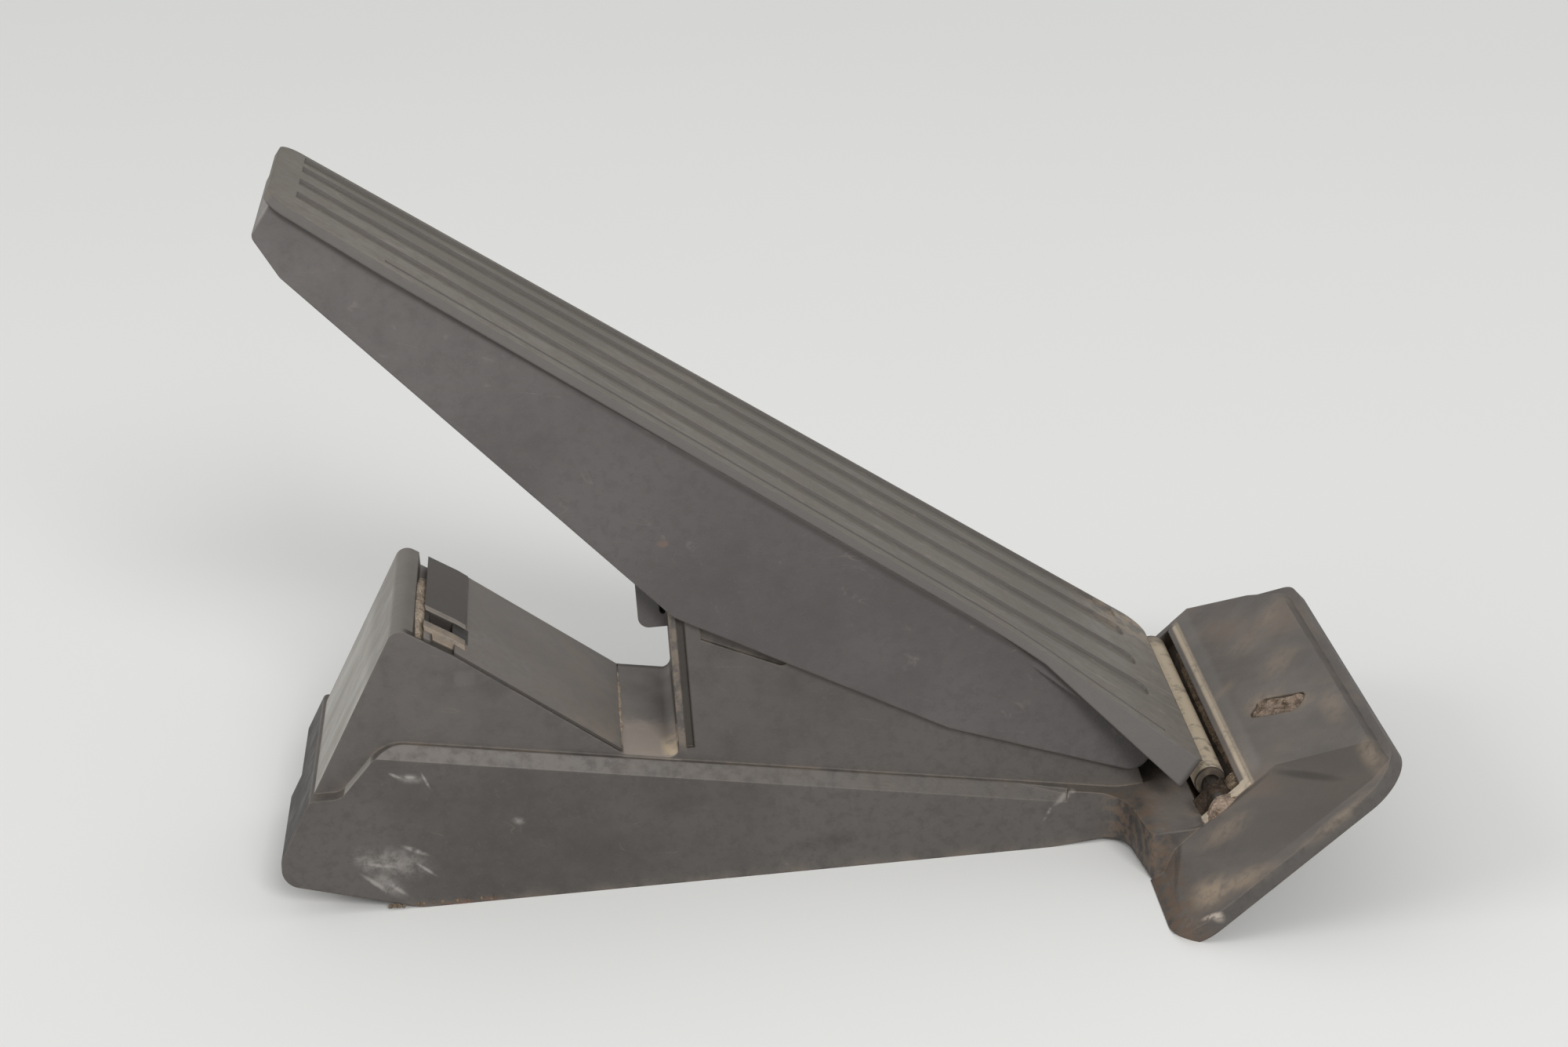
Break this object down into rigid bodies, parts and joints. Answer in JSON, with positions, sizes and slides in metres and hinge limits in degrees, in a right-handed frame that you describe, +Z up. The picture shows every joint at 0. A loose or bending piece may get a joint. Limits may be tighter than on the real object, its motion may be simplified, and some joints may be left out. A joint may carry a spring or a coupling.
{
  "type": "accelerator pedal",
  "caption": "Floor-hinged accelerator pedal: ribbed wedge tread on a skirted carrier, hollow base with lever and sensor, skewed heel plate.",
  "frame": {"origin": "middle of the base's flat seat, on its underside", "axes": "+X along the base from its front block to the heel plate, +Y across to the far side with the socket, +Z up"},
  "size_m": [0.2137, 0.1143, 0.1468],
  "materials": {
    "base_plastic": "moulded fine grain, dusty and scuffed",
    "lid_plastic": "moulded fine grain, dusty",
    "carrier_plastic": "moulded fine grain",
    "tread_plastic": "ribbed, worn and dusty",
    "cover_plastic": "moulded, clean",
    "lever_plastic": "glass-filled, matt",
    "bush_plastic": "natural sliding plastic",
    "shoe_plastic": "natural sliding plastic",
    "steel": "ground steel",
    "spring_steel": "drawn spring wire",
    "screw_steel": "zinc plated",
    "board": "lacquered circuit board",
    "chip": "moulded chip body",
    "contact_metal": "tinned contact",
    "magnet": "nickel plated",
    "rubber": "matt rubber"
  },
  "bodies": {
    "base": {"base_housing": "base_plastic", "bay_lid": "lid_plastic", "sensor_cover": "cover_plastic", "circuit_board": "board", "hall_sensors": "chip", "connector_pins": "contact_metal", "cover_screws": "screw_steel", "shaft_bush_near": "bush_plastic", "shaft_bush_far": "bush_plastic", "return_spring_near": "spring_steel", "return_spring_far": "spring_steel", "hinge_pin": "steel", "stop_buffers": "rubber"},
    "pedal": {"pedal_carrier": "carrier_plastic", "pedal_tread": "tread_plastic", "hinge_bush_near": "bush_plastic", "hinge_bush_far": "bush_plastic"},
    "lever": {"drive_lever": "lever_plastic", "lever_shaft": "steel", "glide_shoe": "shoe_plastic", "sensor_magnet": "magnet"}
  },
  "joints": [
    {"name": "pedal_hinge", "type": "hinge", "parent": "base", "child": "pedal", "pos_m": [0.08511, 0, 0.01474], "axis": [0, -1, 0], "range_deg": [0, 12], "stiffness_Nm_per_rad": 9, "springref_deg": -12.61},
    {"name": "lever_pivot", "type": "hinge", "parent": "base", "child": "lever", "pos_m": [0.032, 0, 0.02], "axis": [0, -1, 0], "range_deg": [0, 26.5], "deforming": ["return_spring_near", "return_spring_far"]}
  ],
  "couplings": [
    {"joint": "lever_pivot", "follows": "pedal_hinge", "ratio": 2.2}
  ]
}
